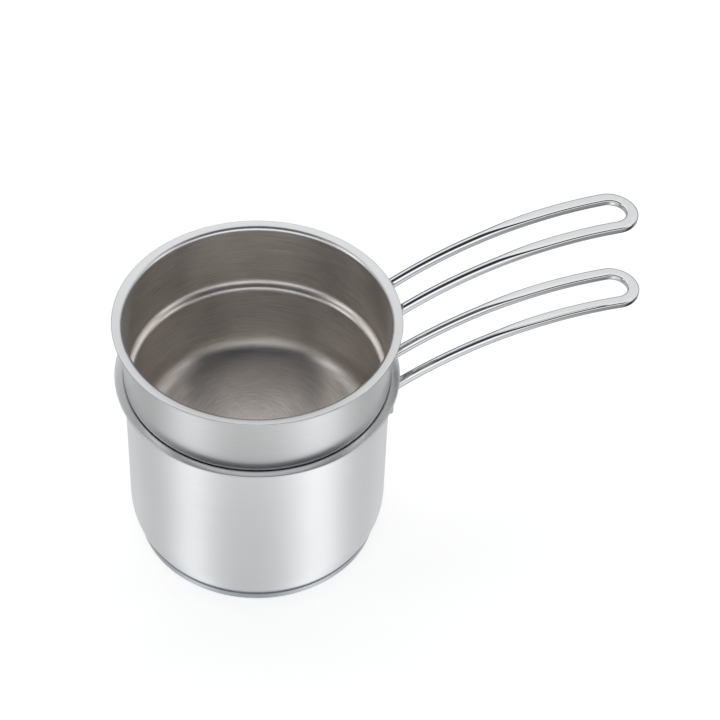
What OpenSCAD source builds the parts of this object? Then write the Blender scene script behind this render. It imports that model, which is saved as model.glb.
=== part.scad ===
// Double boiler: a saucepan, and an insert whose shoulder seats in the saucepan's mouth.
// Each pot has one handle, a loop of thick wire whose two feet are welded to the wall.
// The origin is the centre of the base's underside. +Z is up, and +X runs along the lower handle.

/* [Both pots] */
// Outer radius of the lower pot's wall
pot_r = 70; // [60:0.5:90]
// Thickness of the drawn sheet
wall_t = 1; // [0.6:0.1:1.2]
// How far both rims reach out past the lower pot's wall
flare_w = 5; // [4:0.5:8]
// Radius of the bend on the upper side of both rims
flare_bend_r = 2.6; // [1.8:0.1:3]
// Angle through which the sheet turns outwards at both rims
flare_turn = 80; // [65:1:88]

/* [Lower pot] */
// Height of the lower rim above the table
pot_h = 110; // [100:1:160]
// Radius of the long curve that draws the wall in above the base
belly_r = 32; // [28:1:60]
// Angle through which that long curve turns
belly_turn = 30; // [15:1:38]
// Radius of the tight corner between that curve and the flat bottom
toe_r = 3; // [2:0.5:6]

/* [Base] */
// Outer radius of the steel capsule under the base
capsule_r = 65.8; // [55:0.1:68]
// Height of the capsule's side wall
capsule_h = 4; // [3:0.1:6]
// Thickness of the capsule's sheet
capsule_t = 0.6; // [0.4:0.1:1]
// Radius of the capsule's lower edge
capsule_edge_r = 1.2; // [1.1:0.1:2]

/* [Insert] */
// How far the insert's rim stands above the lower rim
insert_rise = 38.5; // [32:0.5:60]
// How far the insert reaches down below the lower rim
insert_drop = 47; // [30:1:60]
// How far the insert's wall stands out past the lower pot's wall
insert_step = 0.2; // [0:0.1:1.2]
// Clearance between the insert's neck and the inside of the lower pot
neck_gap = 3; // [1:0.1:4]
// Radius of the shoulder that seats on the lower rim
shoulder_r = 5; // [4:0.5:8]
// Radius of the hollow between the shoulder and the neck
hollow_r = 2; // [1.5:0.5:4]
// Radius of the insert's bottom corner
insert_corner_r = 12; // [6:1:20]
// Running clearance between the shoulder and the lower rim
seat_gap = 0.3; // [0.1:0.1:0.5]
// How far the insert stands turned about the common axis
insert_turn = 1.7; // [-10:0.1:10]

/* [Handles] */
// Diameter of the wire where it is round
wire_d = 5.6; // [4:0.1:6.4]
// Width of the flattened wire in the grip
grip_w = 6.4; // [5.5:0.1:9]
// Thickness of the flattened wire in the grip
grip_t = 4.4; // [3:0.1:5]
// Spacing of the two legs where they meet the loop at the grip's end, centre to centre
leg_gap = 22.6; // [18:0.2:28]
// Spacing of the two feet, centre to centre
foot_gap = 19.6; // [16:0.2:26]
// Radius of the arch of both handles, seen from the side
arch_r = 235; // [200:5:320]
// From the outer end of a handle back to where its arch is level
level_back = 22; // [10:1:40]
// From the wall to where the wire starts to flatten
grip_start = 55; // [40:1:70]
// From the wall to where the wire is fully flattened
grip_full = 88; // [75:1:110]
// From the lower pot's wall to the outer end of its handle
lower_reach = 144; // [110:1:180]
// Height of the lower handle's crest above the lower rim
lower_crest = 10.4; // [4:0.2:16]
// From the insert's wall to the outer end of its handle
upper_reach = 139; // [110:0.2:180]
// Height of the upper handle's crest above the insert's rim
upper_crest = 22.3; // [20:0.1:26]

/* [Feet and welds] */
// Width of the flattened feet
foot_w = 6.2; // [5:0.1:8]
// Thickness of the flattened feet
foot_t = 3.4; // [2.6:0.1:4.4]
// Length of the straight feet
foot_len = 14.6; // [11:0.1:16]
// Radius of the bend above each foot
foot_bend_r = 8; // [6:0.5:10]
// Clearance between each foot and the wall, filled by the weld
weld_gap = 0.1; // [0.05:0.05:0.4]
// Width of each weld
weld_w = 4; // [2.5:0.1:4.6]
// Height of each weld
weld_h = 8; // [5:0.1:9]
// How deep each weld reaches into its foot
weld_sink = 0.6; // [0.3:0.1:1]

/* [Hidden] */
$fn = 96;
steps = 10;
sides = 16;
insert_r = pot_r + insert_step;
neck_r = pot_r - wall_t - neck_gap;
rim_r = pot_r + flare_w;
upper_h = pot_h + insert_rise;
floor_z = capsule_h;
grip_flat_top = 5;
grip_flat_under = 2.6;
foot_flat = 3.2;
tip_len = 2.6;

// Centre of the rim's bend for a pot of wall radius r, and the length of its straight flare
bend_mid = flare_bend_r - wall_t / 2;
function bend_x(r) = r - wall_t + flare_bend_r;
function flare_len(r) =
    (rim_r - wall_t / 2 - bend_x(r) + bend_mid * cos(flare_turn)) / sin(flare_turn);
function bend_z(r, h) =
    h - wall_t / 2 - bend_mid * sin(flare_turn) - flare_len(r) * cos(flare_turn);

// Points on an arc about c, from angle a to angle b
function arc(c, r, a, b, n = steps) =
    [for (i = [0:n]) let (t = a + (b - a) * i / n) c + r * [cos(t), sin(t)]];

// The rim of a pot of wall radius r and height h, from its outer wall over the edge to its inner wall
function rim(r, h) =
    let (
        c = [bend_x(r), bend_z(r, h)],
        edge = c + bend_mid * [-cos(flare_turn), sin(flare_turn)]
            + flare_len(r) * [sin(flare_turn), cos(flare_turn)]
    )
    concat(
        arc(c, flare_bend_r - wall_t, 180, 180 - flare_turn),
        arc(edge, wall_t / 2, -flare_turn, 180 - flare_turn, 6),
        arc(c, flare_bend_r, 180 - flare_turn, 180)
    );

// The lower pot's wall below the rim, d inwards from the outside
belly_z = floor_z + toe_r + (belly_r - toe_r) * sin(belly_turn);
toe_c = [pot_r - belly_r, belly_z] + (belly_r - toe_r) * [cos(belly_turn), -sin(belly_turn)];
function pot_side(d) = concat(
    arc(toe_c, toe_r - d, -90, -belly_turn, 8),
    arc([pot_r - belly_r, belly_z], belly_r - d, -belly_turn, 0)
);

// The insert's seat: the shoulder's circle clears the circle of the lower rim's bend by seat_gap
shoulder_x = insert_r - shoulder_r;
shoulder_z = bend_z(pot_r, pot_h)
    + sqrt(pow(flare_bend_r + shoulder_r + seat_gap, 2) - pow(bend_x(pot_r) - shoulder_x, 2));
shoulder_turn = acos(1 - (insert_r - neck_r) / (shoulder_r + hollow_r));
hollow_z = shoulder_z - (shoulder_r + hollow_r) * sin(shoulder_turn);
insert_z = pot_h - insert_drop;

// The insert's wall below the rim, d inwards from the outside
function insert_side(d) = concat(
    arc([neck_r - insert_corner_r, insert_z + insert_corner_r], insert_corner_r - d, -90, 0),
    arc([neck_r + hollow_r, hollow_z], hollow_r + d, 180, 180 - shoulder_turn, 8),
    arc([shoulder_x, shoulder_z], shoulder_r - d, -shoulder_turn, 0, 8)
);

function reversed(list) = [for (i = [len(list) - 1:-1:0]) list[i]];

module drawn_pot(outside, rim_points, inside, bottom) {
    rotate_extrude()
        polygon(concat(
            [[0, bottom]], outside, rim_points, reversed(inside), [[0, bottom + wall_t]]
        ));
}

// Side profile of a handle on a wall of radius r: heights count from that pot's rim
function level_x(r, reach) = r + reach - level_back;
function foot_x(r) = sqrt(r * r - pow((foot_gap - foot_w) / 2, 2)) + foot_t / 2 + weld_gap;
function loop_x(r, reach) = r + reach - grip_w / 2 - leg_gap / 2;
function arch_z(x, lx, crest) = crest - arch_r + sqrt(arch_r * arch_r - pow(lx - x, 2));
function arch_turn(x, lx) = asin((lx - x) / arch_r);
function bend_turn(r, lx) = asin((lx - foot_x(r) - foot_bend_r) / (arch_r - foot_bend_r));
function foot_top(r, lx, crest) =
    let (t = bend_turn(r, lx), x = foot_x(r) + foot_bend_r * (1 - sin(t)))
    arch_z(x, lx, crest) - foot_bend_r * cos(t);

// How far a leg stands to the side of the handle's middle: the legs spread from the feet to the loop
function leg_side(x, r, reach) =
    mix(foot_gap, leg_gap, (x - foot_x(r)) / (loop_x(r, reach) - foot_x(r))) / 2;

// A station on the wire: its place, its direction, the side that faces up, and its distance from the wall
function leg_stations(r, reach, crest) =
    let (
        lx = level_x(r, reach),
        fx = foot_x(r),
        ft = foot_top(r, lx, crest),
        turn = bend_turn(r, lx),
        x0 = fx + foot_bend_r * (1 - sin(turn)),
        x1 = loop_x(r, reach)
    )
    concat(
        [for (z = [foot_len - tip_len:-3.5:2]) [[fx, -foot_gap / 2, ft - z], [0, 0, 1], [-1, 0, 0]]],
        [for (i = [0:6]) let (t = 90 + (turn - 90) * i / 6, x = fx + foot_bend_r * (1 - sin(t)))
            [[x, -leg_side(x, r, reach), ft + foot_bend_r * cos(t)],
             [cos(t), 0, sin(t)], [-sin(t), 0, cos(t)]]],
        [for (i = [1:28]) let (x = mix(x0, x1, i / 28), t = arch_turn(x, lx))
            [[x, -leg_side(x, r, reach), arch_z(x, lx, crest)],
             [cos(t), 0, sin(t)], [-sin(t), 0, cos(t)]]]
    );
function loop_stations(r, reach, crest) =
    let (lx = level_x(r, reach), x1 = loop_x(r, reach))
    [for (i = [1:15]) let (
            a = -90 + 180 * i / 16,
            x = x1 + leg_gap / 2 * cos(a),
            t = arch_turn(x, lx),
            along = [-sin(a), cos(a), -sin(a) * tan(t)]
        )
        [[x, leg_gap / 2 * sin(a), arch_z(x, lx, crest)], along / norm(along),
         [-sin(t), 0, cos(t)]]];
function far_leg(stations) = [for (s = reversed(stations))
    [[s[0][0], -s[0][1], s[0][2]], -s[1], s[2]]];

// The rounded tip of the foot: three rings that shrink towards its end
function foot_tip(first) = [for (a = [20, 45, 70])
    [first[0] - [0, 0, tip_len * cos(a)], first[1], first[2], sin(a)]];

function ease(t) = let (u = min(1, max(0, t))) u * u * (3 - 2 * u);
function mix(a, b, t) = a + (b - a) * t;

// Width, thickness and squareness of the wire at a station
function section(s, r) =
    let (
        upright = ease((abs(s[1][2]) - 0.62) / 0.38),
        grip = ease((s[0][0] - r - grip_start) / (grip_full - grip_start))
    )
    [
        mix(mix(wire_d, grip_w, grip), foot_w, upright),
        mix(mix(wire_d, grip_t, grip), foot_t, upright),
        mix(mix(2, grip_flat_top, grip), foot_flat, upright),
        mix(mix(2, grip_flat_under, grip), foot_flat, upright)
    ];
function power(v, e) = sign(v) * pow(abs(v), e);
function ring(s, r) =
    let (
        size = section(s, r),
        shrink = len(s) > 3 ? s[3] : 1,
        out = cross(s[1], s[2])
    )
    [for (i = [0:sides - 1]) let (
            a = 360 * i / sides,
            e = 2 / (sin(a) > 0 ? size[2] : size[3])
        )
        s[0] + out * power(cos(a), e) * size[0] / 2 * shrink
            + s[2] * power(sin(a), e) * size[1] / 2 * shrink];

module wire_loop(r, reach, crest) {
    leg = leg_stations(r, reach, crest);
    near = concat(foot_tip(leg[0]), leg);
    ends = foot_tip(leg[0]);
    back = [for (s = reversed(ends)) [[s[0][0], -s[0][1], s[0][2]], -s[1], s[2], s[3]]];
    stations = concat(near, loop_stations(r, reach, crest), far_leg(leg), back);
    last = len(stations) - 1;
    polyhedron(
        points = [for (s = stations) each ring(s, r)],
        faces = concat(
            [[for (i = [sides - 1:-1:0]) i]],
            [for (j = [0:last - 1], i = [0:sides - 1])
                let (k = (i + 1) % sides, a = j * sides, b = a + sides)
                each [[a + k, b + k, b + i], [a + k, b + i, a + i]]],
            [[for (i = [0:sides - 1]) last * sides + i]]
        ),
        convexity = 8
    );
}

// Each weld: an upright bar with round ends, cut to the wall, that reaches into its foot
module welds(r, reach, crest) {
    top = foot_top(r, level_x(r, reach), crest);
    low = top - foot_len + (foot_len - weld_h) / 2;
    face = foot_x(r) - foot_t / 2;
    depth = face - r + weld_sink + 4;
    difference() {
        for (side = [-1, 1])
            translate([face + weld_sink - depth, side * foot_gap / 2, low + weld_w / 2])
                rotate([90, 0, 90]) {
                    cylinder(d = weld_w, h = depth);
                    translate([0, weld_h - weld_w, 0]) cylinder(d = weld_w, h = depth);
                    translate([-weld_w / 2, 0, 0]) cube([weld_w, weld_h - weld_w, depth]);
                }
        translate([0, 0, low - 1]) cylinder(r = r, h = weld_h + 2, $fn = 720);
    }
}

module lower_pot_body() {
    color("silver")
        drawn_pot(pot_side(0), rim(pot_r, pot_h), pot_side(wall_t), floor_z);
}

module lower_base_core() {
    color("lightgray")
        translate([0, 0, capsule_t])
            cylinder(r = capsule_r - capsule_t, h = floor_z - capsule_t);
}

module lower_base_capsule() {
    edge = [capsule_r - capsule_edge_r, capsule_edge_r];
    color("slategray")
        rotate_extrude()
            polygon(concat(
                [[0, 0]],
                arc(edge, capsule_edge_r, -90, 0, 6),
                [[capsule_r, capsule_h], [capsule_r - capsule_t, capsule_h],
                 [capsule_r - capsule_t, capsule_t], [0, capsule_t]]
            ));
}

module lower_handle() {
    color("gainsboro")
        translate([0, 0, pot_h]) wire_loop(pot_r, lower_reach, lower_crest);
}

module lower_handle_welds() {
    color("darkgray")
        translate([0, 0, pot_h]) welds(pot_r, lower_reach, lower_crest);
}

module upper_pot_body() {
    color("silver")
        drawn_pot(insert_side(0), rim(insert_r, upper_h), insert_side(wall_t), insert_z);
}

module upper_handle() {
    color("gainsboro")
        rotate([0, 0, insert_turn])
            translate([0, 0, upper_h]) wire_loop(insert_r, upper_reach, upper_crest);
}

module upper_handle_welds() {
    color("darkgray")
        rotate([0, 0, insert_turn])
            translate([0, 0, upper_h]) welds(insert_r, upper_reach, upper_crest);
}

lower_pot_body();
lower_base_core();
lower_base_capsule();
lower_handle();
lower_handle_welds();
upper_pot_body();
upper_handle();
upper_handle_welds();
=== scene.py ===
import math
import bmesh
import bpy
from mathutils import Matrix, Vector


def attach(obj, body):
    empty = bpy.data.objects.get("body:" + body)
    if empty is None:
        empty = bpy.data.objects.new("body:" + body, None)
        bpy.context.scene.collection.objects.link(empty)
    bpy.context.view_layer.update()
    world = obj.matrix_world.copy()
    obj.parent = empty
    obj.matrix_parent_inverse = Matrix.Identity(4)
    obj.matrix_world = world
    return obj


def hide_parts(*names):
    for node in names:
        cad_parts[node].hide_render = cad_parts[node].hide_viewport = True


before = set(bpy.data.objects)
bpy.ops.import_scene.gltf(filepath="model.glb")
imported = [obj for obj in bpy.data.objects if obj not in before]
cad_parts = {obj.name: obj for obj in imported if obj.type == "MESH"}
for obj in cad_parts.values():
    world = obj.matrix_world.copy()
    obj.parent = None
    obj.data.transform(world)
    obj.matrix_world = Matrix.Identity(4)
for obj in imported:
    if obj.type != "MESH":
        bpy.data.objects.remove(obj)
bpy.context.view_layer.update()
scene = bpy.context.scene
print("frame loaded:", ", ".join(sorted(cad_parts)))

# The photograph's camera: place in metres, directions in degrees, heading from +Y towards +X
cameraValues = {
    "place": (-0.2090, -0.7793, 0.9422),
    "heading": 18.82,
    "tilt": 45.56,
    "roll": -2.68,
    "lens": 110.0,
    "sensor": 36.0,
    "clip": (0.02, 60.0),
}


def buildCamera(values):
    heading, tilt, roll = (math.radians(values[key]) for key in ("heading", "tilt", "roll"))
    forward = Vector((
        math.sin(heading) * math.cos(tilt), math.cos(heading) * math.cos(tilt), -math.sin(tilt)
    ))
    right = Vector((math.cos(heading), -math.sin(heading), 0.0))
    down = forward.cross(right)
    across = right * math.cos(roll) + down * math.sin(roll)
    downwards = down * math.cos(roll) - right * math.sin(roll)
    data = bpy.data.cameras.new("photoCamera")
    data.lens = values["lens"]
    data.sensor_width = values["sensor"]
    data.clip_start, data.clip_end = values["clip"]
    camera = bpy.data.objects.new("photoCamera", data)
    turn = Matrix((across, -downwards, -forward)).transposed().to_4x4()
    camera.matrix_world = Matrix.Translation(values["place"]) @ turn
    scene.collection.objects.link(camera)
    scene.camera = camera


buildCamera(cameraValues)
print("camera placed")


# Keeps a division by a radius sound on the pots' axis
tiny = 0.0001


# Links a value to a socket, or writes it there where it is fixed
def feed(tree, value, socket):
    if isinstance(value, bpy.types.NodeSocket):
        tree.links.new(value, socket)
    else:
        socket.default_value = value


def calc(tree, operation, *values):
    node = tree.nodes.new("ShaderNodeMath")
    node.operation = operation
    for place, value in enumerate(values):
        feed(tree, value, node.inputs[place])
    return node.outputs[0]


def vectorCalc(tree, operation, first, second):
    node = tree.nodes.new("ShaderNodeVectorMath")
    node.operation = operation
    tree.links.new(first, node.inputs[0])
    tree.links.new(second, node.inputs["Scale" if operation == "SCALE" else 1])
    return node.outputs[0]


def squareSum(tree, first, second):
    return calc(tree, "ADD", calc(tree, "MULTIPLY", first, first), calc(tree, "MULTIPLY", second, second))


def splitPoint(tree, point):
    parts = tree.nodes.new("ShaderNodeSeparateXYZ")
    tree.links.new(point, parts.inputs[0])
    return tuple(parts.outputs)


def joinPoint(tree, *values):
    point = tree.nodes.new("ShaderNodeCombineXYZ")
    for place, value in enumerate(values):
        tree.links.new(value, point.inputs[place])
    return point.outputs[0]


# A Mix node takes colours at its sockets 6 and 7 and gives one out at 2
def mixColours(tree, share, first, second):
    node = tree.nodes.new("ShaderNodeMix")
    node.data_type = "RGBA"
    for place, value in ((0, share), (6, first), (7, second)):
        feed(tree, value, node.inputs[place])
    return node.outputs[2]


# From 0 to 1 as the value goes from the first limit to the second
def rising(tree, value, limits, kind="SMOOTHSTEP"):
    node = tree.nodes.new("ShaderNodeMapRange")
    node.interpolation_type = kind
    node.inputs["From Min"].default_value, node.inputs["From Max"].default_value = limits
    tree.links.new(value, node.inputs["Value"])
    return node.outputs[0]


def noise(tree, point, scale, detail, roughness=0.5):
    node = tree.nodes.new("ShaderNodeTexNoise")
    node.inputs["Detail"].default_value = detail
    node.inputs["Roughness"].default_value = roughness
    tree.links.new(point, node.inputs["Vector"])
    feed(tree, scale, node.inputs["Scale"])
    return node.outputs[0]


def startTree(name, kind, inputs, outputs):
    tree = bpy.data.node_groups.new(name, kind)
    for label, socketKind, value in inputs:
        socket = tree.interface.new_socket(name=label, in_out="INPUT", socket_type=socketKind)
        if value is not None:
            socket.default_value = value
    for label, socketKind in outputs:
        tree.interface.new_socket(name=label, in_out="OUTPUT", socket_type=socketKind)
    return tree, tree.nodes.new("NodeGroupInput"), tree.nodes.new("NodeGroupOutput")


def startPattern(name, inputs):
    given = [(label, "NodeSocketFloat", value) for label, value in inputs.items()]
    made = [(label, "NodeSocketFloat") for label in ("Height", "Roughness", "Streaks")]
    return startTree(name, "ShaderNodeTree", given, made)


# The roughness goes from Low to High with the grain
def endPattern(tree, given, made, height, grain, streaks):
    spread = calc(tree, "SUBTRACT", given.outputs["High"], given.outputs["Low"])
    roughness = calc(tree, "MULTIPLY_ADD", grain, spread, given.outputs["Low"])
    for label, value in (("Height", height), ("Roughness", roughness), ("Streaks", streaks)):
        tree.links.new(value, made.inputs[label])


# What all turned finishes share: the noise of the lines, the slow clouds mixed with it, and the part of the
# mix over which a streak comes up
turnedValues = {
    "lineDetail": 5.0, "lineRoughness": 0.65, "lineShare": 0.6,
    "cloudScale": 22.0, "cloudDetail": 3.0, "cloudShare": 0.4, "streak": (0.35, 0.65),
}


# Fine lines left by a turning tool or belt: they run round the pots' common axis
def buildTurnedGrain(values):
    tree, given, made = startPattern("turnedGrain", {"Lines": 1500.0, "Sweep": 3.0, "Low": 0.1, "High": 0.2})
    where = tree.nodes.new("ShaderNodeTexCoord").outputs["Object"]
    x, y, z = splitPoint(tree, where)
    radius = calc(tree, "SQRT", squareSum(tree, x, y))
    safe = calc(tree, "ADD", radius, tiny)
    rings = calc(tree, "MULTIPLY", calc(tree, "ADD", radius, z), given.outputs["Lines"])
    around = [
        calc(tree, "MULTIPLY", calc(tree, "DIVIDE", side, safe), given.outputs["Sweep"]) for side in (x, y)
    ]
    point = joinPoint(tree, rings, *around)
    lines = noise(tree, point, 1.0, values["lineDetail"], values["lineRoughness"])
    clouds = noise(tree, where, values["cloudScale"], values["cloudDetail"])
    cloudPart = calc(tree, "MULTIPLY", clouds, values["cloudShare"])
    both = calc(tree, "MULTIPLY_ADD", lines, values["lineShare"], cloudPart)
    endPattern(tree, given, made, lines, both, rising(tree, both, values["streak"], "LINEAR"))
    return tree


# The slow dents, and the hairlines that are this many times finer
polishValues = {"dentDetail": 2.0, "hairDetail": 6.0, "hairScale": 9.0}


# Faint dents, smears and hairlines of a hand-polished surface
def buildHandPolish(values):
    tree, given, made = startPattern("handPolish", {"Scale": 60.0, "Low": 0.04, "High": 0.1})
    where = tree.nodes.new("ShaderNodeTexCoord").outputs["Object"]
    scale = given.outputs["Scale"]
    dents = noise(tree, where, scale, values["dentDetail"])
    hairs = noise(tree, where, calc(tree, "MULTIPLY", scale, values["hairScale"]), values["hairDetail"])
    endPattern(tree, given, made, dents, hairs, hairs)
    return tree


turnedGrain = buildTurnedGrain(turnedValues)
handPolish = buildHandPolish(polishValues)

# Finishes: linear colour and how far it fades, how far the grain stretches a reflection, the pattern's own
# values with the roughness from Low to High, and the depth in metres and strength of the grain
finishValues = {
    "outside": {
        "colour": (0.755, 0.765, 0.775), "fade": 0.03, "stretch": 0.75, "Lines": 2600.0, "Sweep": 2.0,
        "Low": 0.2, "High": 0.3, "depth": 0.000004, "strength": 0.6,
    },
    "inside": {
        "colour": (0.62, 0.588, 0.558), "fade": 0.22, "stretch": 0.7, "Lines": 1500.0, "Sweep": 4.0,
        "Low": 0.26, "High": 0.42, "depth": 0.00003, "strength": 1.0,
    },
    "rim": {
        "colour": (0.57, 0.575, 0.58), "fade": 0.03, "stretch": 0.0, "Lines": 900.0, "Sweep": 3.0,
        "Low": 0.26, "High": 0.36, "depth": 0.000004, "strength": 0.5,
    },
    "capsule": {
        "colour": (0.48, 0.51, 0.55), "fade": 0.12, "stretch": 0.3, "Lines": 900.0, "Sweep": 2.0,
        "Low": 0.24, "High": 0.38, "depth": 0.00003, "strength": 1.0,
    },
    "core": {
        "colour": (0.60, 0.60, 0.62), "fade": 0.1, "stretch": 0.3, "Lines": 800.0, "Sweep": 2.0,
        "Low": 0.35, "High": 0.5, "depth": 0.00003, "strength": 1.0,
    },
    "handle": {
        "colour": (0.58, 0.585, 0.595), "fade": 0.02, "stretch": 0.0, "Scale": 45.0,
        "Low": 0.02, "High": 0.06, "depth": 0.0001, "strength": 0.25,
    },
    "weld": {
        "colour": (0.40, 0.39, 0.38), "fade": 0.3, "stretch": 0.0, "Scale": 900.0,
        "Low": 0.35, "High": 0.6, "depth": 0.0002, "strength": 1.0,
    },
}


# A quarter turn lays the stretch across the grain's lines
stretchTurn = 0.25


def finish(name):
    values = dict(finishValues[name])
    colour, fade, stretch, depth, strength = (
        values.pop(key) for key in ("colour", "fade", "stretch", "depth", "strength")
    )
    material = bpy.data.materials.new(name + "Finish")
    material.use_nodes = True
    tree = material.node_tree
    shader = tree.nodes["Principled BSDF"]
    shader.inputs["Metallic"].default_value = 1.0
    shader.inputs["Anisotropic"].default_value = stretch
    shader.inputs["Anisotropic Rotation"].default_value = stretchTurn
    effect = tree.nodes.new("ShaderNodeGroup")
    effect.node_tree = handPolish if "Scale" in values else turnedGrain
    for label, value in values.items():
        effect.inputs[label].default_value = value
    bump = tree.nodes.new("ShaderNodeBump")
    bump.inputs["Distance"].default_value = depth
    bump.inputs["Strength"].default_value = strength
    darker, lighter = (
        (*[min(1.0, part * change) for part in colour], 1.0) for change in (1.0 - fade, 1.0 + fade)
    )
    tint = mixColours(tree, effect.outputs["Streaks"], darker, lighter)
    tree.links.new(tint, shader.inputs["Base Color"])
    tree.links.new(effect.outputs["Roughness"], shader.inputs["Roughness"])
    tree.links.new(effect.outputs["Height"], bump.inputs["Height"])
    tree.links.new(bump.outputs["Normal"], shader.inputs["Normal"])
    return material


outsideSteel = finish("outside")
insideSteel = finish("inside")
rimSteel = finish("rim")
capsuleSteel = finish("capsule")
coreAluminium = finish("core")
handleSteel = finish("handle")
weldSteel = finish("weld")
print("finishes mixed")

# Points nearer than the weld distance, in metres, become one; edges past the angle, in degrees, stay sharp
meshValues = {"weldDistance": 0.000001, "sharpAngle": 35.0}


# A grid whose two directions, u and v from 0 to 1, are bent into a shape by the tree that uses it
def startGrid(tree, across, along):
    grid = tree.nodes.new("GeometryNodeMeshGrid")
    grid.inputs["Size X"].default_value = 1.0
    grid.inputs["Size Y"].default_value = 1.0
    tree.links.new(across, grid.inputs["Vertices X"])
    tree.links.new(along, grid.inputs["Vertices Y"])
    place = tree.nodes.new("GeometryNodeInputPosition")
    x, y = splitPoint(tree, place.outputs[0])[:2]
    return grid, calc(tree, "ADD", x, 0.5), calc(tree, "ADD", y, 0.5)


def startSource(tree, given):
    source = tree.nodes.new("GeometryNodeObjectInfo")
    tree.links.new(given.outputs["Source"], source.inputs["Object"])
    size = tree.nodes.new("GeometryNodeAttributeDomainSize")
    tree.links.new(source.outputs["Geometry"], size.inputs["Geometry"])
    return source.outputs["Geometry"], size.outputs["Point Count"]


def sampled(tree, source, kind, value, index):
    node = tree.nodes.new("GeometryNodeSampleIndex")
    node.data_type = kind
    node.domain = "POINT"
    tree.links.new(source, node.inputs["Geometry"])
    tree.links.new(value, node.inputs["Value"])
    tree.links.new(index, node.inputs["Index"])
    return node.outputs["Value"]


def named(tree, kind, label):
    node = tree.nodes.new("GeometryNodeInputNamedAttribute")
    node.data_type = kind
    node.inputs["Name"].default_value = label
    return node.outputs["Attribute"]


def endTree(tree, given, made, grid, stored, place):
    keep = tree.nodes.new("GeometryNodeStoreNamedAttribute")
    keep.data_type = "FLOAT"
    keep.domain = "POINT"
    keep.inputs["Name"].default_value = "along"
    move = tree.nodes.new("GeometryNodeSetPosition")
    weld = tree.nodes.new("GeometryNodeMergeByDistance")
    weld.inputs["Distance"].default_value = meshValues["weldDistance"]
    smooth = tree.nodes.new("GeometryNodeSetShadeSmooth")
    real = tree.nodes.new("GeometryNodeRealizeInstances")
    paint = tree.nodes.new("GeometryNodeSetMaterial")
    tree.links.new(grid.outputs["Mesh"], keep.inputs["Geometry"])
    tree.links.new(stored, keep.inputs["Value"])
    tree.links.new(keep.outputs["Geometry"], move.inputs["Geometry"])
    tree.links.new(place, move.inputs["Position"])
    tree.links.new(move.outputs["Geometry"], weld.inputs["Geometry"])
    tree.links.new(weld.outputs["Geometry"], smooth.inputs["Geometry"])
    tree.links.new(smooth.outputs["Geometry"], real.inputs["Geometry"])
    tree.links.new(real.outputs["Geometry"], paint.inputs["Geometry"])
    tree.links.new(given.outputs["Finish"], paint.inputs["Material"])
    tree.links.new(paint.outputs["Geometry"], made.inputs["Geometry"])


# Turns a profile of radii and heights about Z, as a sheet is spun on a lathe
def buildLathe():
    tree, given, made = startTree(
        "lathe", "GeometryNodeTree",
        [("Geometry", "NodeSocketGeometry", None), ("Source", "NodeSocketObject", None),
         ("Segments", "NodeSocketInt", 96), ("Finish", "NodeSocketMaterial", None)],
        [("Geometry", "NodeSocketGeometry")],
    )
    source, count = startSource(tree, given)
    grid, u, v = startGrid(tree, calc(tree, "ADD", given.outputs["Segments"], 1.0), count)
    index = calc(tree, "ROUND", calc(tree, "MULTIPLY", v, calc(tree, "SUBTRACT", count, 1.0)))
    place = tree.nodes.new("GeometryNodeInputPosition")
    corner = sampled(tree, source, "FLOAT_VECTOR", place.outputs[0], index)
    radius, height = splitPoint(tree, corner)[::2]
    angle = calc(tree, "MULTIPLY", u, 2.0 * math.pi)
    x = calc(tree, "MULTIPLY", radius, calc(tree, "COSINE", angle))
    y = calc(tree, "MULTIPLY", radius, calc(tree, "SINE", angle))
    endTree(tree, given, made, grid, v, joinPoint(tree, x, y, height))
    return tree


# Sweeps a wire's section along its stations, each with its own half width, half thickness and squareness
def buildWire():
    tree, given, made = startTree(
        "bentWire", "GeometryNodeTree",
        [("Geometry", "NodeSocketGeometry", None), ("Source", "NodeSocketObject", None),
         ("Sides", "NodeSocketInt", 32), ("Finish", "NodeSocketMaterial", None)],
        [("Geometry", "NodeSocketGeometry")],
    )
    source, count = startSource(tree, given)
    grid, u, v = startGrid(tree, count, calc(tree, "ADD", given.outputs["Sides"], 1.0))
    index = calc(tree, "ROUND", calc(tree, "MULTIPLY", u, calc(tree, "SUBTRACT", count, 1.0)))
    place = tree.nodes.new("GeometryNodeInputPosition")
    centre = sampled(tree, source, "FLOAT_VECTOR", place.outputs[0], index)
    half = {
        label: sampled(tree, source, "FLOAT_VECTOR", named(tree, "FLOAT_VECTOR", label), index)
        for label in ("halfSide", "halfUp")
    }
    power = {
        label: sampled(tree, source, "FLOAT", named(tree, "FLOAT", label), index)
        for label in ("topPower", "underPower")
    }
    angle = calc(tree, "MULTIPLY", v, 2.0 * math.pi)
    cosine = calc(tree, "COSINE", angle)
    sine = calc(tree, "SINE", angle)
    change = calc(tree, "SUBTRACT", power["topPower"], power["underPower"])
    above = calc(tree, "GREATER_THAN", sine, 0.0)
    chosen = calc(tree, "MULTIPLY_ADD", above, change, power["underPower"])

    def squared(value):
        size = calc(tree, "POWER", calc(tree, "ABSOLUTE", value), chosen)
        return calc(tree, "MULTIPLY", calc(tree, "SIGN", value), size)

    sideways = vectorCalc(tree, "SCALE", half["halfSide"], squared(cosine))
    upwards = vectorCalc(tree, "SCALE", half["halfUp"], squared(sine))
    place = vectorCalc(tree, "ADD", vectorCalc(tree, "ADD", centre, sideways), upwards)
    endTree(tree, given, made, grid, u, place)
    return tree


def pointsObject(name, points, attributes=()):
    mesh = bpy.data.meshes.new(name)
    mesh.from_pydata(points, [], [])
    for label, kind, values in attributes:
        layer = mesh.attributes.new(label, kind, "POINT")
        flat = [part for value in values for part in value] if kind == "FLOAT_VECTOR" else values
        layer.data.foreach_set("vector" if kind == "FLOAT_VECTOR" else "value", flat)
    holder = bpy.data.objects.new(name, mesh)
    scene.collection.objects.link(holder)
    return holder


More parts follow.
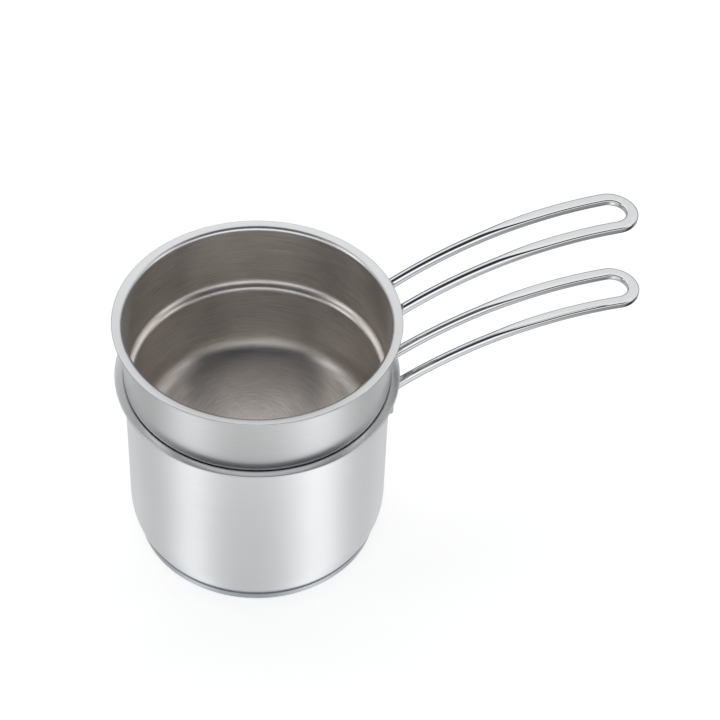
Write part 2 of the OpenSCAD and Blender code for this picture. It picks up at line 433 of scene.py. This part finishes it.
# Runs a tree on its source and keeps the result as a plain mesh whose faces point outwards
def grow(name, tree, source, values):
    carrier = bpy.data.objects.new(name + "Carrier", bpy.data.meshes.new(name + "Carrier"))
    scene.collection.objects.link(carrier)
    modifier = carrier.modifiers.new("shape", "NODES")
    modifier.node_group = tree
    items = tree.interface.items_tree
    sockets = {item.name: item.identifier for item in items if item.in_out == "INPUT"}
    for label, value in {"Source": source, **values}.items():
        modifier[sockets[label]] = value
    depsgraph = bpy.context.evaluated_depsgraph_get()
    mesh = bpy.data.meshes.new_from_object(
        carrier.evaluated_get(depsgraph), preserve_all_data_layers=True, depsgraph=depsgraph
    )
    carrier.modifiers.remove(modifier)
    bpy.data.objects.remove(carrier)
    bpy.data.objects.remove(source)
    mesh.name = name
    work = bmesh.new()
    work.from_mesh(mesh)
    bmesh.ops.recalc_face_normals(work, faces=work.faces)
    if work.calc_volume(signed=True) < 0.0:
        bmesh.ops.reverse_faces(work, faces=work.faces)
    work.to_mesh(mesh)
    work.free()
    mesh.set_sharp_from_angle(angle=math.radians(meshValues["sharpAngle"]))
    mesh.materials.clear()
    mesh.materials.append(values["Finish"])
    mesh.polygons.foreach_set("material_index", [0] * len(mesh.polygons))
    piece = bpy.data.objects.new(name, mesh)
    scene.collection.objects.link(piece)
    print(name, "has", len(mesh.vertices), "points")
    return piece


def handOver(piece, body, node):
    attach(piece, body)
    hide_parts(node)


lathe = buildLathe()
bentWire = buildWire()

# Sizes that both pots share, in metres and degrees
potValues = {
    "wallRadius": 0.070, "sheet": 0.001, "flareWidth": 0.005, "flareBend": 0.0026, "flareTurn": 80.0,
    "segments": 320, "steps": 14,
}
# The lower pot and its base
lowerValues = {
    "height": 0.110, "bellyRadius": 0.032, "bellyTurn": 30.0, "toeRadius": 0.003,
    "capsuleRadius": 0.0658, "capsuleHeight": 0.004, "capsuleSheet": 0.0006, "capsuleEdge": 0.0012,
}
# The insert
insertValues = {
    "rise": 0.0385, "drop": 0.047, "step": 0.0002, "neckGap": 0.003, "shoulder": 0.005,
    "hollow": 0.002, "corner": 0.012, "seatGap": 0.0003, "turn": 1.7,
}
insertRadius = potValues["wallRadius"] + insertValues["step"]
insertHeight = lowerValues["height"] + insertValues["rise"]
neckRadius = potValues["wallRadius"] - potValues["sheet"] - insertValues["neckGap"]


def arcPoints(centre, radius, start, end):
    steps = potValues["steps"]
    turns = [math.radians(start + (end - start) * i / steps) for i in range(steps + 1)]
    return [(centre[0] + radius * math.cos(t), centre[1] + radius * math.sin(t)) for t in turns]


# The centre of a rim's bend, and the middle of its rounded edge
def rimCentres(radius, height):
    sheet, turn = potValues["sheet"], math.radians(potValues["flareTurn"])
    middle = potValues["flareBend"] - sheet / 2
    edgeX = potValues["wallRadius"] + potValues["flareWidth"] - sheet / 2
    bendX = radius - sheet + potValues["flareBend"]
    length = (edgeX - bendX + middle * math.cos(turn)) / math.sin(turn)
    edgeZ = height - sheet / 2
    bendZ = edgeZ - middle * math.sin(turn) - length * math.cos(turn)
    return (bendX, bendZ), (edgeX, edgeZ)


def rimPoints(radius, height):
    bend, edge = rimCentres(radius, height)
    sheet, turn = potValues["sheet"], potValues["flareTurn"]
    under = arcPoints(bend, potValues["flareBend"] - sheet, 180.0, 180.0 - turn)
    tip = arcPoints(edge, sheet / 2, -turn, 180.0 - turn)
    over = arcPoints(bend, potValues["flareBend"], 180.0 - turn, 180.0)
    return under + tip + over


def lowerSide(depth):
    belly, toe, turn = lowerValues["bellyRadius"], lowerValues["toeRadius"], lowerValues["bellyTurn"]
    reach = belly - toe
    centre = (
        potValues["wallRadius"] - belly,
        lowerValues["capsuleHeight"] + toe + reach * math.sin(math.radians(turn)),
    )
    toeCentre = (
        centre[0] + reach * math.cos(math.radians(turn)),
        centre[1] - reach * math.sin(math.radians(turn)),
    )
    return arcPoints(toeCentre, toe - depth, -90.0, -turn) + arcPoints(centre, belly - depth, -turn, 0.0)


def insertSide(depth):
    shoulder, hollow, corner = (insertValues[key] for key in ("shoulder", "hollow", "corner"))
    bend, edge = rimCentres(potValues["wallRadius"], lowerValues["height"])
    shoulderX = insertRadius - shoulder
    apart = potValues["flareBend"] + shoulder + insertValues["seatGap"]
    shoulderZ = bend[1] + math.sqrt(apart ** 2 - (bend[0] - shoulderX) ** 2)
    turn = math.acos(1.0 - (insertRadius - neckRadius) / (shoulder + hollow))
    hollowZ = shoulderZ - (shoulder + hollow) * math.sin(turn)
    floor = lowerValues["height"] - insertValues["drop"]
    turn = math.degrees(turn)
    return (
        arcPoints((neckRadius - corner, floor + corner), corner - depth, -90.0, 0.0)
        + arcPoints((neckRadius + hollow, hollowZ), hollow + depth, 180.0, 180.0 - turn)
        + arcPoints((shoulderX, shoulderZ), shoulder - depth, -turn, 0.0)
    )


# A pot is one spun sheet: its outside is polished, its rim satin and its inside, from the bend down,
# brushed. The finish changes halfway between two points of the profile
def buildPot(name, side, radius, height, floor):
    sheet = potValues["sheet"]
    outer = [(0.0, floor)] + side(0.0)
    rim = rimPoints(radius, height)
    inner = side(sheet)[::-1] + [(0.0, floor + sheet)]
    profile = outer + rim + inner
    source = pointsObject(name + "Profile", [(x, 0.0, z) for x, z in profile])
    piece = grow(name, lathe, source, {"Segments": potValues["segments"], "Finish": outsideSteel})
    piece.data.materials.append(insideSteel)
    piece.data.materials.append(rimSteel)
    rimStart = (len(outer) - 0.5) / (len(profile) - 1)
    innerStart = (len(outer) + len(rim) - 1.5) / (len(profile) - 1)
    along = piece.data.attributes["along"].data
    for face in piece.data.polygons:
        middle = sum(along[corner].value for corner in face.vertices) / len(face.vertices)
        face.material_index = 1 if middle > innerStart else 2 if middle > rimStart else 0
    return piece


lowerPot = buildPot(
    "lowerPot", lowerSide, potValues["wallRadius"], lowerValues["height"], lowerValues["capsuleHeight"]
)
handOver(lowerPot, "lower_pot", "lower_pot_body")
insertPot = buildPot(
    "insertPot", insertSide, insertRadius, insertHeight, lowerValues["height"] - insertValues["drop"]
)
handOver(insertPot, "insert", "upper_pot_body")
print("pots spun")


def buildCapsule():
    radius, height, sheet, edge = (
        lowerValues[key] for key in ("capsuleRadius", "capsuleHeight", "capsuleSheet", "capsuleEdge")
    )
    profile = [(0.0, 0.0)] + arcPoints((radius - edge, edge), edge, -90.0, 0.0)
    profile += [(radius, height), (radius - sheet, height), (radius - sheet, sheet), (0.0, sheet)]
    source = pointsObject("capsuleProfile", [(x, 0.0, z) for x, z in profile])
    values = {"Segments": potValues["segments"], "Finish": capsuleSteel}
    return grow("baseCapsule", lathe, source, values)


handOver(buildCapsule(), "lower_pot", "lower_base_capsule")
print("base capsule spun")

# Both handles, in metres; reach is from the wall to the outer end, crest above the pot's rim. A flat value
# is the power of the wire's section on that side, where 2 is round and more is squarer
handleValues = {
    "lowerReach": 0.144, "lowerCrest": 0.0104, "upperReach": 0.139, "upperCrest": 0.0223,
    "wire": 0.0056, "gripWidth": 0.0064, "gripThickness": 0.0044, "legGap": 0.0226,
    "archRadius": 0.235, "levelBack": 0.022, "gripStart": 0.055, "gripFull": 0.088,
    "footGap": 0.0196, "footWidth": 0.0062, "footThickness": 0.0034, "footLength": 0.0146,
    "footBend": 0.008, "weldGap": 0.0001, "tipLength": 0.0026, "footStart": 0.62,
    "round": 2.0, "flatTop": 5.0, "flatUnder": 2.6, "flatFoot": 3.2,
    "sides": 48, "archSteps": 80, "loopSteps": 44, "bendSteps": 18, "tipSteps": 7, "footSteps": 6,
}


def ease(value):
    value = min(1.0, max(0.0, value))
    return value * value * (3.0 - 2.0 * value)


def mixed(first, second, share):
    return first + (second - first) * share


# Stations of one leg, from the foot's tip to the start of the loop, then of the loop: place, direction,
# upper side and shrink
def wireStations(radius, reach, crest):
    v = handleValues
    half, footHalf = v["legGap"] / 2, v["footGap"] / 2
    levelX = radius + reach - v["levelBack"]
    wallX = math.sqrt(radius ** 2 - (footHalf - v["footWidth"] / 2) ** 2)
    footX = wallX + v["footThickness"] / 2 + v["weldGap"]
    endX = radius + reach - v["gripWidth"] / 2 - half

    def archZ(x):
        return crest - v["archRadius"] + math.sqrt(v["archRadius"] ** 2 - (levelX - x) ** 2)

    def archStation(x, y, along=None):
        t = math.asin((levelX - x) / v["archRadius"])
        along = along or (math.cos(t), 0.0, math.sin(t))
        return (x, y, archZ(x)), along, (-math.sin(t), 0.0, math.cos(t)), 1.0

    # The legs spread from the feet to the loop
    def legSide(x):
        return mixed(footHalf, half, (x - footX) / (endX - footX))

    turn = math.asin((levelX - footX - v["footBend"]) / (v["archRadius"] - v["footBend"]))
    startX = footX + v["footBend"] * (1.0 - math.sin(turn))
    footTop = archZ(startX) - v["footBend"] * math.cos(turn)
    low = footTop - v["footLength"] + v["tipLength"]
    up, outward = (0.0, 0.0, 1.0), (-1.0, 0.0, 0.0)
    leg = []
    for i in range(v["tipSteps"]):
        a = math.radians(90.0 * i / v["tipSteps"])
        leg.append(((footX, -footHalf, low - v["tipLength"] * math.cos(a)), up, outward, math.sin(a)))
    for i in range(v["footSteps"]):
        leg.append(((footX, -footHalf, mixed(low, footTop, i / v["footSteps"])), up, outward, 1.0))
    for i in range(v["bendSteps"] + 1):
        t = mixed(math.pi / 2, turn, i / v["bendSteps"])
        x = footX + v["footBend"] * (1.0 - math.sin(t))
        place = (x, -legSide(x), footTop + v["footBend"] * math.cos(t))
        leg.append((place, (math.cos(t), 0.0, math.sin(t)), (-math.sin(t), 0.0, math.cos(t)), 1.0))
    for i in range(1, v["archSteps"] + 1):
        x = mixed(startX, endX, i / v["archSteps"])
        leg.append(archStation(x, -legSide(x)))
    loop = []
    for i in range(1, v["loopSteps"]):
        a = math.pi * (i / v["loopSteps"] - 0.5)
        x = endX + half * math.cos(a)
        slope = math.tan(math.asin((levelX - x) / v["archRadius"]))
        along = Vector((-math.sin(a), math.cos(a), -math.sin(a) * slope)).normalized()
        loop.append(archStation(x, half * math.sin(a), tuple(along)))
    return leg, loop


def buildHandle(name, radius, height, pot, turn):
    v = handleValues
    leg, loop = wireStations(radius, v[pot + "Reach"], v[pot + "Crest"])
    back = [
        ((x, -y, z), tuple(-part for part in along), up, shrink)
        for (x, y, z), along, up, shrink in leg[::-1]
    ]
    place = Matrix.Rotation(math.radians(turn), 4, "Z") @ Matrix.Translation((0.0, 0.0, height))
    spin = place.to_3x3()
    points, halfSide, halfUp, topPower, underPower = [], [], [], [], []
    for centre, along, up, shrink in leg + loop + back:
        upright = ease((abs(along[2]) - v["footStart"]) / (1.0 - v["footStart"]))
        grip = ease((centre[0] - radius - v["gripStart"]) / (v["gripFull"] - v["gripStart"]))
        width = mixed(mixed(v["wire"], v["gripWidth"], grip), v["footWidth"], upright)
        thickness = mixed(mixed(v["wire"], v["gripThickness"], grip), v["footThickness"], upright)
        top = mixed(mixed(v["round"], v["flatTop"], grip), v["flatFoot"], upright)
        under = mixed(mixed(v["round"], v["flatUnder"], grip), v["flatFoot"], upright)
        side = Vector(along).cross(Vector(up))
        points.append(place @ Vector(centre))
        halfSide.append(spin @ side * (width / 2 * shrink))
        halfUp.append(spin @ Vector(up) * (thickness / 2 * shrink))
        topPower.append(v["round"] / top)
        underPower.append(v["round"] / under)
    source = pointsObject(name + "Stations", points, (
        ("halfSide", "FLOAT_VECTOR", halfSide), ("halfUp", "FLOAT_VECTOR", halfUp),
        ("topPower", "FLOAT", topPower), ("underPower", "FLOAT", underPower),
    ))
    return grow(name, bentWire, source, {"Sides": v["sides"], "Finish": handleSteel})


handOver(
    buildHandle("lowerHandle", potValues["wallRadius"], lowerValues["height"], "lower", 0.0),
    "lower_pot", "lower_handle",
)
handOver(
    buildHandle("insertHandle", insertRadius, insertHeight, "upper", insertValues["turn"]),
    "insert", "upper_handle",
)
print("handles bent")

# The carried-over parts keep their shape and take a finish
carriedFinishes = {
    "lower_base_core": coreAluminium,
    "lower_handle_welds": weldSteel,
    "upper_handle_welds": weldSteel,
}
for nodeName, nodeFinish in carriedFinishes.items():
    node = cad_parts[nodeName]
    node.data.materials.clear()
    node.data.materials.append(nodeFinish)
print("core and welds finished")

# The studio, as metal mirrors it. Near the pots the floor has soft tone bands, each with a place and a half
# width in degrees round a wall that faces them, counted from the camera's side, and a change of brightness.
# In front, a lift brightens the bands further out. The far floor's brightness goes by how far it lies
# towards the camera's side, from -1 to 1. Seen straight on, the floor is white with a faint shadow.
# The sky is a row of long boxes and gaps that lie across the view: an angle from straight up, positive
# towards the camera, and a colour at that angle, which skyStrength then multiplies
studioValues = {
    "aim": (0.03, 0.0, 0.08),
    "cameraSide": -15.0,
    "floorSide": 9.0,
    "floorDrop": 0.0001,
    "floorColour": (0.90, 0.90, 0.90),
    "floorRoughness": 0.9,
    "floorSpecular": 0.1,
    "floorWhite": 1.56,
    "floorShadow": 0.6,
    "grey": 0.67,
    "bands": (
        {"at": -31.0, "half": 12.0, "change": 0.42},
        {"at": 28.0, "half": 15.0, "change": 0.50},
        {"at": -78.0, "half": 14.0, "change": 0.12},
        {"at": 76.0, "half": 16.0, "change": 0.12},
    ),
    "lift": 0.42,
    "liftRadius": (0.155, 0.2),
    "liftFront": (0.1, 0.6),
    "farRadius": (0.2, 0.3),
    "farFloor": (
        (-1.0, 0.5), (-0.35, 0.5), (-0.12, 0.05), (0.03, 0.05), (0.2, 0.42), (0.55, 0.42),
        (0.8, 0.98), (1.0, 1.0),
    ),
    "sky": (
        (-180.0, (0.03, 0.03, 0.03)), (-74.0, (0.03, 0.03, 0.035)), (-64.0, (0.56, 0.56, 0.56)),
        (-45.0, (0.60, 0.60, 0.60)), (-32.0, (0.72, 0.72, 0.72)), (-16.0, (0.66, 0.66, 0.66)),
        (-9.0, (0.026, 0.030, 0.040)), (39.0, (0.026, 0.030, 0.040)), (56.0, (0.85, 0.85, 0.86)),
        (76.0, (0.80, 0.80, 0.80)), (90.0, (0.30, 0.30, 0.30)), (180.0, (0.30, 0.30, 0.30)),
    ),
    "skyStrength": 2.0,
    "side": 0.31,
    "sideShare": (0.6, 0.1),
    "boxes": (
        {"name": "leftBox", "round": -80.0, "up": 34.0, "far": 1.5, "size": (0.5, 1.2), "power": 3.0},
        {"name": "rightBox", "round": 80.0, "up": 30.0, "far": 1.6, "size": (0.5, 1.2), "power": 2.5},
    ),
}


def roundAim(values, far, azimuth, elevation):
    a, e = math.radians(azimuth), math.radians(elevation)
    away = Vector((math.sin(a) * math.cos(e), -math.cos(a) * math.cos(e), math.sin(e)))
    place = Vector(values["aim"]) + away * far
    return Matrix.Translation(place) @ away.to_track_quat("Z", "Y").to_matrix().to_4x4()


# Degrees round the Z axis from the camera's side, positive towards the picture's right
def cameraAzimuth(tree, x, y, values):
    angle = calc(tree, "ARCTAN2", x, calc(tree, "MULTIPLY", y, -1.0))
    turned = calc(tree, "SUBTRACT", calc(tree, "DEGREES", angle), values["cameraSide"])
    return calc(tree, "WRAP", turned, 180.0, -180.0)


# How far a place or direction lies towards the camera's side
def towardsCamera(tree, x, y, values):
    side = math.radians(values["cameraSide"])
    return calc(tree, "MULTIPLY_ADD", x, math.sin(side), calc(tree, "MULTIPLY", y, -math.cos(side)))


def bell(tree, value, middle, half):
    step = calc(tree, "DIVIDE", calc(tree, "SUBTRACT", value, middle), half)
    return calc(tree, "EXPONENT", calc(tree, "MULTIPLY", calc(tree, "MULTIPLY", step, step), -1.0))


def toneBands(tree, facing, values):
    total = values["grey"]
    for band in values["bands"]:
        shape = bell(tree, facing, band["at"], band["half"])
        total = calc(tree, "MULTIPLY_ADD", shape, band["change"], total)
    return total


# The first stop stands at 0 and the last at 1, as a new ramp's own two do
def fillRamp(ramp, stops):
    ramp.interpolation = "EASE"
    ramp.elements[0].color = (*stops[0][1], 1.0)
    ramp.elements[1].color = (*stops[-1][1], 1.0)
    for place, colour in stops[1:-1]:
        ramp.elements.new(place).color = (*colour, 1.0)


def buildFloor(values):
    material = bpy.data.materials.new("paleFloor")
    material.use_nodes = True
    tree = material.node_tree
    shader = tree.nodes["Principled BSDF"]
    shader.inputs["Base Color"].default_value = (*values["floorColour"], 1.0)
    shader.inputs["Roughness"].default_value = values["floorRoughness"]
    shader.inputs["Specular IOR Level"].default_value = values["floorSpecular"]
    x, y = splitPoint(tree, tree.nodes.new("ShaderNodeTexCoord").outputs["Object"])[:2]
    radius = calc(tree, "SQRT", squareSum(tree, x, y))
    wall = potValues["wallRadius"]
    near = calc(tree, "DIVIDE", wall, calc(tree, "MAXIMUM", radius, wall))
    azimuth = cameraAzimuth(tree, x, y, values)
    bands = toneBands(tree, calc(tree, "DIVIDE", azimuth, calc(tree, "SUBTRACT", 2.0, near)), values)
    towards = calc(tree, "DIVIDE", towardsCamera(tree, x, y, values), calc(tree, "ADD", radius, tiny))
    lift = calc(tree, "MULTIPLY", rising(tree, radius, values["liftRadius"]), values["lift"])
    lift = calc(tree, "MULTIPLY", lift, rising(tree, towards, values["liftFront"]))
    bands = calc(tree, "MULTIPLY_ADD", bands, lift, bands)
    far = tree.nodes.new("ShaderNodeValToRGB")
    fillRamp(far.color_ramp, [((side + 1.0) / 2.0, (level,) * 3) for side, level in values["farFloor"]])
    tree.links.new(calc(tree, "MULTIPLY_ADD", towards, 0.5, 0.5), far.inputs[0])
    share = rising(tree, radius, values["farRadius"])
    level = calc(tree, "MULTIPLY_ADD", share, calc(tree, "SUBTRACT", far.outputs[0], bands), bands)
    rays = tree.nodes.new("ShaderNodeLightPath")
    direct, mirrored = rays.outputs["Is Camera Ray"], rays.outputs["Is Glossy Ray"]
    change = calc(tree, "SUBTRACT", values["floorWhite"], level)
    glow = tree.nodes.new("ShaderNodeEmission")
    tree.links.new(calc(tree, "MULTIPLY_ADD", direct, change, level), glow.inputs["Strength"])
    shadow = calc(tree, "MULTIPLY", direct, values["floorShadow"])
    blend = tree.nodes.new("ShaderNodeMixShader")
    seen = calc(tree, "SUBTRACT", calc(tree, "MAXIMUM", direct, mirrored), shadow)
    tree.links.new(seen, blend.inputs[0])
    tree.links.new(shader.outputs[0], blend.inputs[1])
    tree.links.new(glow.outputs[0], blend.inputs[2])
    tree.links.new(blend.outputs[0], tree.nodes["Material Output"].inputs["Surface"])
    half = values["floorSide"] / 2
    corners = [(-half, -half, 0.0), (half, -half, 0.0), (half, half, 0.0), (-half, half, 0.0)]
    mesh = bpy.data.meshes.new("floor")
    mesh.from_pydata(corners, [], [(0, 1, 2, 3)])
    mesh.materials.append(material)
    floor = bpy.data.objects.new("floor", mesh)
    floor.location.z = -values["floorDrop"]
    scene.collection.objects.link(floor)


def buildWorld(values):
    world = bpy.data.worlds.new("studioWorld")
    scene.world = world
    world.use_nodes = True
    tree = world.node_tree
    background = tree.nodes["Background"]
    background.inputs["Strength"].default_value = values["skyStrength"]
    x, y, z = splitPoint(tree, tree.nodes.new("ShaderNodeTexCoord").outputs["Generated"])
    towards = towardsCamera(tree, x, y, values)
    angle = calc(tree, "DEGREES", calc(tree, "ARCTAN2", towards, z))
    sky = tree.nodes.new("ShaderNodeValToRGB")
    fillRamp(sky.color_ramp, [(degrees / 360.0 + 0.5, colour) for degrees, colour in values["sky"]])
    tree.links.new(calc(tree, "MULTIPLY_ADD", angle, 1.0 / 360.0, 0.5), sky.inputs[0])
    aside = rising(tree, squareSum(tree, towards, z), values["sideShare"])
    lit = mixColours(tree, aside, sky.outputs[0], (values["side"],) * 3 + (1.0,))
    rays = tree.nodes.new("ShaderNodeLightPath")
    white = (1.0 / values["skyStrength"],) * 3 + (1.0,)
    tree.links.new(mixColours(tree, rays.outputs["Is Camera Ray"], lit, white), background.inputs["Color"])


def buildLights(values):
    for box in values["boxes"]:
        data = bpy.data.lights.new(box["name"], "AREA")
        data.shape = "RECTANGLE"
        data.size, data.size_y = box["size"]
        data.energy = box["power"]
        light = bpy.data.objects.new(box["name"], data)
        light.matrix_world = roundAim(values, box["far"], values["cameraSide"] + box["round"], box["up"])
        light.visible_camera = False
        scene.collection.objects.link(light)


buildFloor(studioValues)
buildWorld(studioValues)
buildLights(studioValues)
scene.view_settings.view_transform = "Standard"
print("studio lit")
